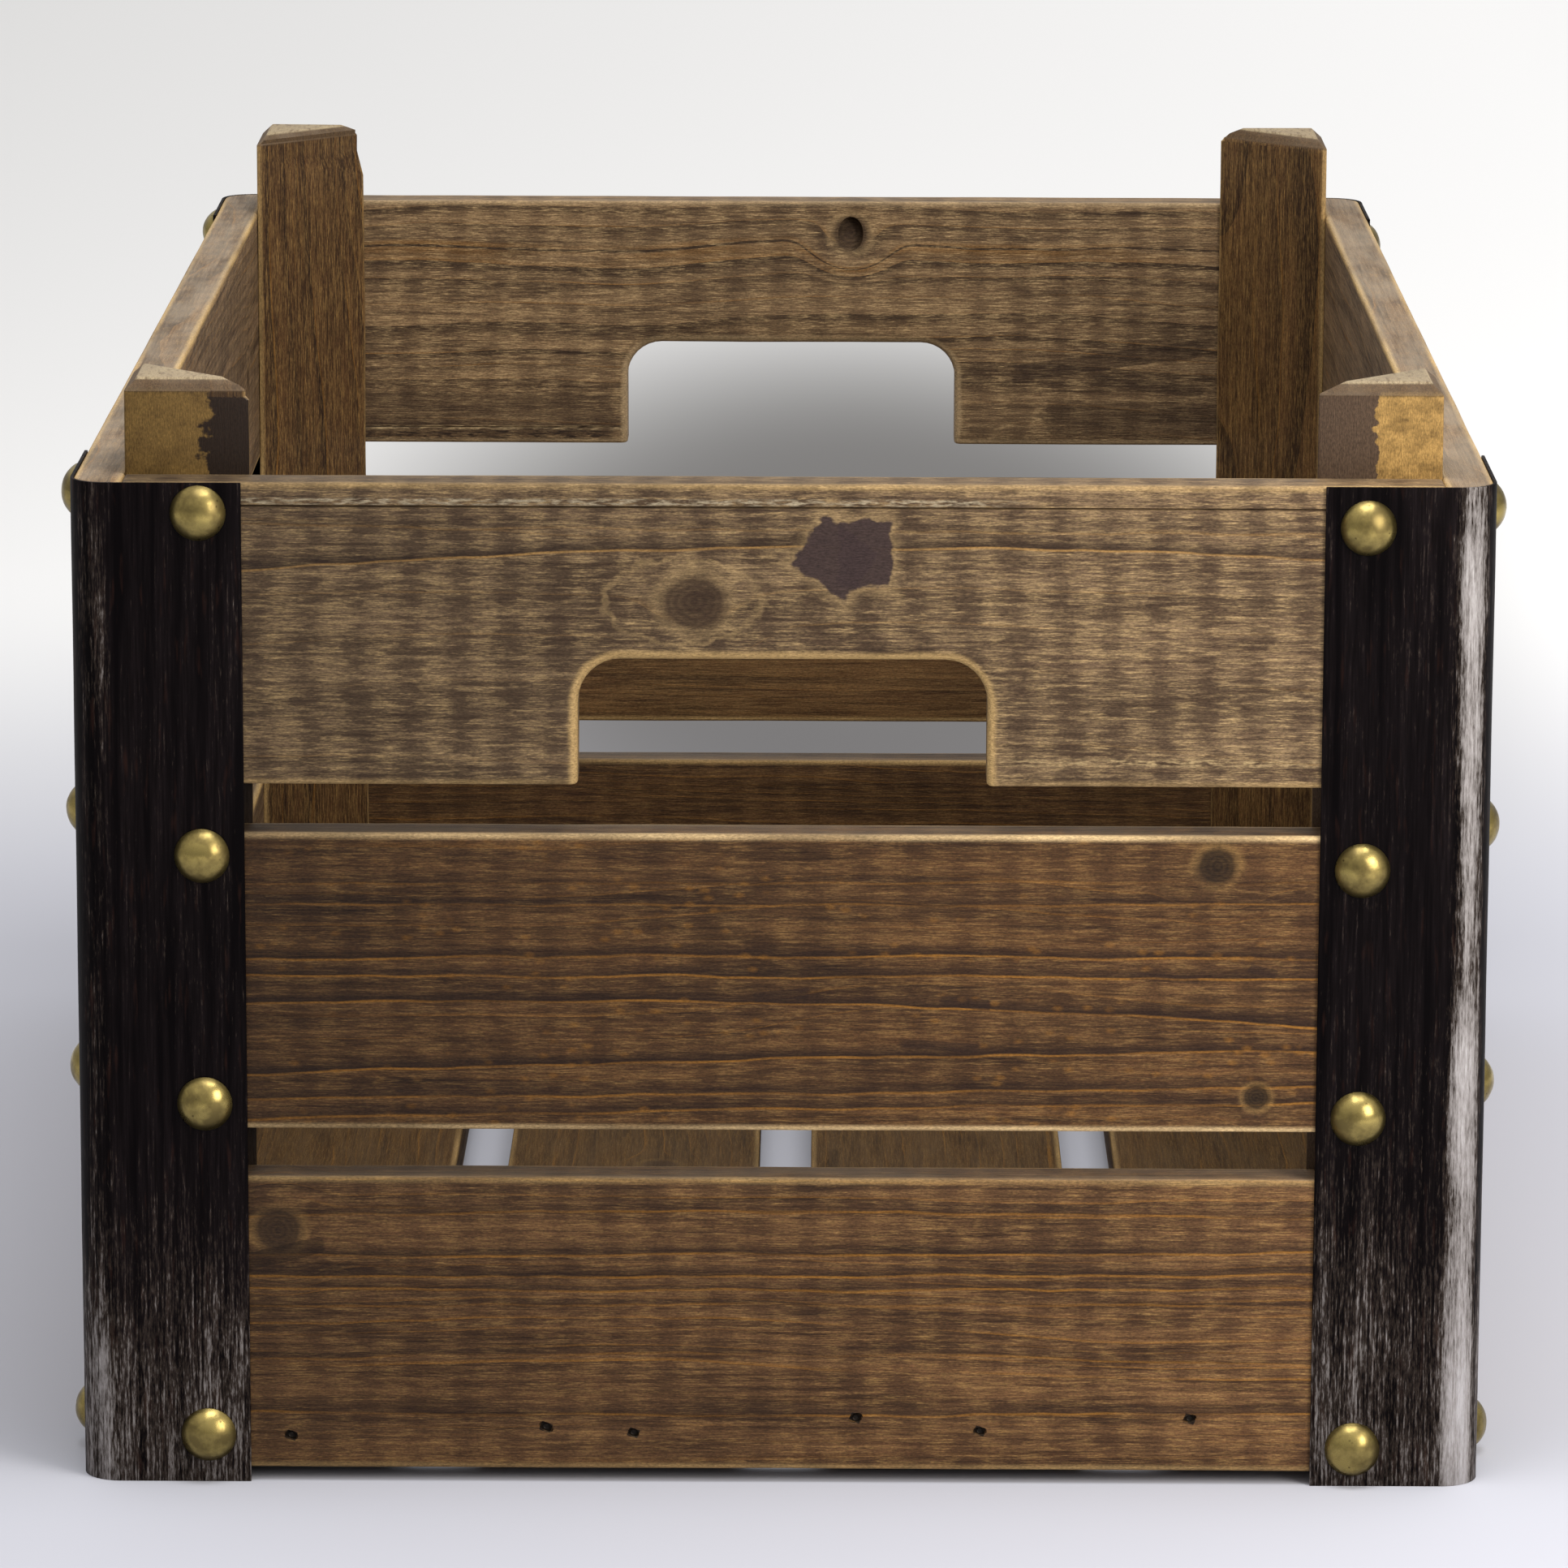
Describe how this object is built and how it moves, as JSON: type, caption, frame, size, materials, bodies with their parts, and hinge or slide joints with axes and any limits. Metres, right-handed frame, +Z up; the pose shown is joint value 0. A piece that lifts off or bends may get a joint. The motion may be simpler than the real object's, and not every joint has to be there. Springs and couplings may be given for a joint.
{
  "type": "wooden apple crate",
  "caption": "Slatted wooden fruit crate with raised three-cornered posts, hand-hold ends, a board floor, and sheet-metal corner brackets held by dome-headed studs.",
  "frame": {"origin": "centre of the crate's footprint, on the surface it stands on", "axes": "+Z up; X across the two ends with the hand holds; Y along the sides, with the front end facing -Y"},
  "size_m": [0.41, 0.61, 0.317],
  "materials": {
    "stained_pine": "dark stained, brushed, satin",
    "stained_pine_post": "dark stained, planed, satin",
    "painted_sheet": "black-brown, streaked and worn",
    "antique_brass": "aged, lightly pitted",
    "steel_brad": "dull"
  },
  "bodies": {
    "root": {"front_bottom_slat": "stained_pine", "front_middle_slat": "stained_pine", "front_top_slat": "stained_pine", "back_bottom_slat": "stained_pine", "back_middle_slat": "stained_pine", "back_top_slat": "stained_pine", "left_bottom_slat": "stained_pine", "left_middle_slat": "stained_pine", "left_top_slat": "stained_pine", "right_bottom_slat": "stained_pine", "right_middle_slat": "stained_pine", "right_top_slat": "stained_pine", "front_left_post": "stained_pine_post", "front_right_post": "stained_pine_post", "back_right_post": "stained_pine_post", "back_left_post": "stained_pine_post", "floor_board_left": "stained_pine", "floor_board_centre_left": "stained_pine", "floor_board_centre_right": "stained_pine", "floor_board_right": "stained_pine", "front_left_bracket": "painted_sheet", "front_right_bracket": "painted_sheet", "back_right_bracket": "painted_sheet", "back_left_bracket": "painted_sheet", "front_left_studs": "antique_brass", "front_right_studs": "antique_brass", "back_right_studs": "antique_brass", "back_left_studs": "antique_brass", "front_floor_brads": "steel_brad", "back_floor_brads": "steel_brad"}
  },
  "joints": []
}
